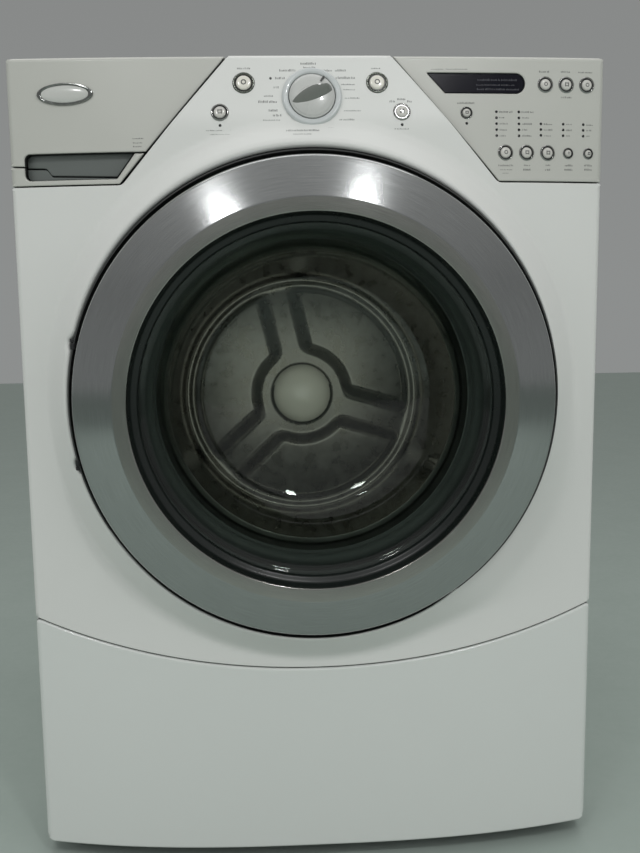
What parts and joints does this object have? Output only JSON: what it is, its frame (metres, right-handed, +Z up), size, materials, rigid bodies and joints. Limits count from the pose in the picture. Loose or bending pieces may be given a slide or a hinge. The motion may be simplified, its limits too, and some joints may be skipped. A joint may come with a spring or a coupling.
{
  "type": "front load washing machine",
  "caption": "Front load washing machine: bowed white cabinet, round brushed-steel door with deep glass bowl, raised centre console with knob, drawer left, display and buttons right.",
  "frame": {"origin": "middle of the outer box on the floor", "axes": "+X to the right seen from the front, +Y to the back, +Z up"},
  "size_m": [0.686, 0.7998, 0.965],
  "materials": {
    "white_enamel": "gloss",
    "white_plastic": "gloss",
    "console_plastic": "satin",
    "brushed_ring": "circular brushing",
    "drum_steel": "bright rolled",
    "frame_plastic": "matt",
    "door_glass": "clear, smoked",
    "bezel_plastic": "gloss",
    "zinc": "satin",
    "black_plastic": "matt",
    "chrome_trim": "polished",
    "silver_plastic": "satin silver",
    "pearl_cap": "gloss",
    "display_black": "gloss",
    "light_black": "gloss",
    "tub_plastic": "matt",
    "concrete": "rough",
    "rubber_grey": "matt",
    "rubber_black": "matt",
    "galvanised": "satin",
    "spring_steel": "satin",
    "spider_metal": "cast",
    "badge_silver": "satin",
    "motor_paint": "matt"
  },
  "bodies": {
    "cabinet": {"side_panel_left": "white_enamel", "side_panel_right": "white_enamel", "rear_panel": "galvanised", "worktop": "white_enamel", "base_frame": "galvanised", "front_panel": "white_enamel", "toe_panel": "white_enamel", "dispenser_trim": "console_plastic", "control_console": "console_plastic", "display_window": "display_black", "button_bezels": "chrome_trim", "indicator_lights": "light_black", "knob_skirt": "silver_plastic", "dispenser_housing": "tub_plastic", "inlet_valve": "white_plastic", "rear_ports": "black_plastic", "door_hinge_bracket": "black_plastic", "door_lock_housing": "black_plastic", "drain_pump": "black_plastic", "damper_cylinders": "black_plastic"},
    "door": {"door_ring": "brushed_ring", "door_inner_frame": "frame_plastic", "door_bezel": "bezel_plastic", "door_glass": "door_glass", "door_hinge_arm": "zinc", "door_strike": "zinc"},
    "drawer": {"drawer_front": "console_plastic", "drawer_tray": "white_plastic", "oval_badge": "badge_silver"},
    "knob": {"cycle_knob": "silver_plastic"},
    "tub": {"tub_front": "tub_plastic", "tub_rear": "tub_plastic", "counterweights": "concrete", "motor_stator": "motor_paint", "drive_belt": "rubber_black", "door_seal": "rubber_grey", "tub_hoses": "rubber_black", "suspension_springs": "spring_steel", "damper_rods": "spring_steel"},
    "drum": {"drum_shell": "drum_steel", "drum_back": "spider_metal", "drum_lifters": "drum_steel"},
    "motor_rotor": {"motor_pulley": "spring_steel"},
    "button_power_body": {"button_power": "pearl_cap"},
    "button_start_body": {"button_start": "pearl_cap"},
    "button_option_left_body": {"button_option_left": "pearl_cap"},
    "button_option_right_body": {"button_option_right": "pearl_cap"},
    "button_timer_1_body": {"button_timer_1": "pearl_cap"},
    "button_timer_2_body": {"button_timer_2": "pearl_cap"},
    "button_timer_3_body": {"button_timer_3": "pearl_cap"},
    "button_steam_body": {"button_steam": "pearl_cap"},
    "button_temp_body": {"button_temp": "pearl_cap"},
    "button_spin_body": {"button_spin": "pearl_cap"},
    "button_soil_body": {"button_soil": "pearl_cap"},
    "button_sound_body": {"button_sound": "pearl_cap"},
    "button_save_body": {"button_save": "pearl_cap"},
    "foot_front_left_body": {"foot_front_left": "black_plastic"},
    "foot_rear_left_body": {"foot_rear_left": "black_plastic"},
    "foot_front_right_body": {"foot_front_right": "black_plastic"},
    "foot_rear_right_body": {"foot_rear_right": "black_plastic"}
  },
  "joints": [
    {"name": "door_hinge", "type": "hinge", "parent": "cabinet", "child": "door", "pos_m": [-0.274, -0.366, 0.577], "axis": [0, 0, -1], "range_deg": [0, 110]},
    {"name": "drawer_slide", "type": "slide", "parent": "cabinet", "child": "drawer", "axis": [0, -1, 0], "range_m": [0, 0.24]},
    {"name": "knob_turn", "type": "hinge", "parent": "cabinet", "child": "knob", "pos_m": [0.0012, -0.3368, 0.917], "axis": [0, -0.9662, 0.2577], "continuous": true},
    {"name": "tub_bounce", "type": "slide", "parent": "cabinet", "child": "tub", "axis": [0, 0, 1], "range_m": [-0.012, 0.012], "stiffness_N_per_m": 24000, "springref_m": 0.02108, "deforming": ["door_seal", "tub_hoses", "suspension_springs"]},
    {"name": "drum_spin", "type": "hinge", "parent": "tub", "child": "drum", "pos_m": [0, -0.3, 0.577], "axis": [0, 0.9945, -0.1045], "continuous": true},
    {"name": "motor_spin", "type": "hinge", "parent": "tub", "child": "motor_rotor", "pos_m": [0, -0.33449, 0.24881], "axis": [0, 0.9945, -0.1045], "continuous": true},
    {"name": "button_power_press", "type": "slide", "parent": "cabinet", "child": "button_power_body", "axis": [0.0157, 0.9673, -0.253], "range_m": [0, 0.0015], "stiffness_N_per_m": 600},
    {"name": "button_start_press", "type": "slide", "parent": "cabinet", "child": "button_start_body", "axis": [-0.0159, 0.9673, -0.253], "range_m": [0, 0.0015], "stiffness_N_per_m": 600},
    {"name": "button_option_left_press", "type": "slide", "parent": "cabinet", "child": "button_option_left_body", "axis": [0.035, 0.9683, -0.2472], "range_m": [0, 0.0015], "stiffness_N_per_m": 600},
    {"name": "button_option_right_press", "type": "slide", "parent": "cabinet", "child": "button_option_right_body", "axis": [-0.0353, 0.9683, -0.2472], "range_m": [0, 0.0015], "stiffness_N_per_m": 600},
    {"name": "button_timer_1_press", "type": "slide", "parent": "cabinet", "child": "button_timer_1_body", "axis": [-0.0899, 0.993, -0.0764], "range_m": [0, 0.0015], "stiffness_N_per_m": 600},
    {"name": "button_timer_2_press", "type": "slide", "parent": "cabinet", "child": "button_timer_2_body", "axis": [-0.1036, 0.9932, -0.0528], "range_m": [0, 0.0015], "stiffness_N_per_m": 600},
    {"name": "button_timer_3_press", "type": "slide", "parent": "cabinet", "child": "button_timer_3_body", "axis": [-0.1178, 0.9927, -0.026], "range_m": [0, 0.0015], "stiffness_N_per_m": 600},
    {"name": "button_steam_press", "type": "slide", "parent": "cabinet", "child": "button_steam_body", "axis": [-0.0602, 0.9888, -0.1368], "range_m": [0, 0.0015], "stiffness_N_per_m": 600},
    {"name": "button_temp_press", "type": "slide", "parent": "cabinet", "child": "button_temp_body", "axis": [-0.1147, 0.987, -0.1122], "range_m": [0, 0.0015], "stiffness_N_per_m": 600},
    {"name": "button_spin_press", "type": "slide", "parent": "cabinet", "child": "button_spin_body", "axis": [-0.136, 0.9862, -0.0946], "range_m": [0, 0.0015], "stiffness_N_per_m": 600},
    {"name": "button_soil_press", "type": "slide", "parent": "cabinet", "child": "button_soil_body", "axis": [-0.1587, 0.9846, -0.0736], "range_m": [0, 0.0015], "stiffness_N_per_m": 600},
    {"name": "button_sound_press", "type": "slide", "parent": "cabinet", "child": "button_sound_body", "axis": [-0.1824, 0.982, -0.0494], "range_m": [0, 0.0015], "stiffness_N_per_m": 600},
    {"name": "button_save_press", "type": "slide", "parent": "cabinet", "child": "button_save_body", "axis": [-0.2069, 0.9781, -0.022], "range_m": [0, 0.0015], "stiffness_N_per_m": 600},
    {"name": "foot_front_left_screw", "type": "slide", "parent": "cabinet", "child": "foot_front_left_body", "axis": [0, 0, -1], "range_m": [0, 0.02]},
    {"name": "foot_rear_left_screw", "type": "slide", "parent": "cabinet", "child": "foot_rear_left_body", "axis": [0, 0, -1], "range_m": [0, 0.02]},
    {"name": "foot_front_right_screw", "type": "slide", "parent": "cabinet", "child": "foot_front_right_body", "axis": [0, 0, -1], "range_m": [0, 0.02]},
    {"name": "foot_rear_right_screw", "type": "slide", "parent": "cabinet", "child": "foot_rear_right_body", "axis": [0, 0, -1], "range_m": [0, 0.02]}
  ],
  "couplings": [
    {"joint": "motor_spin", "follows": "drum_spin", "ratio": 13}
  ]
}
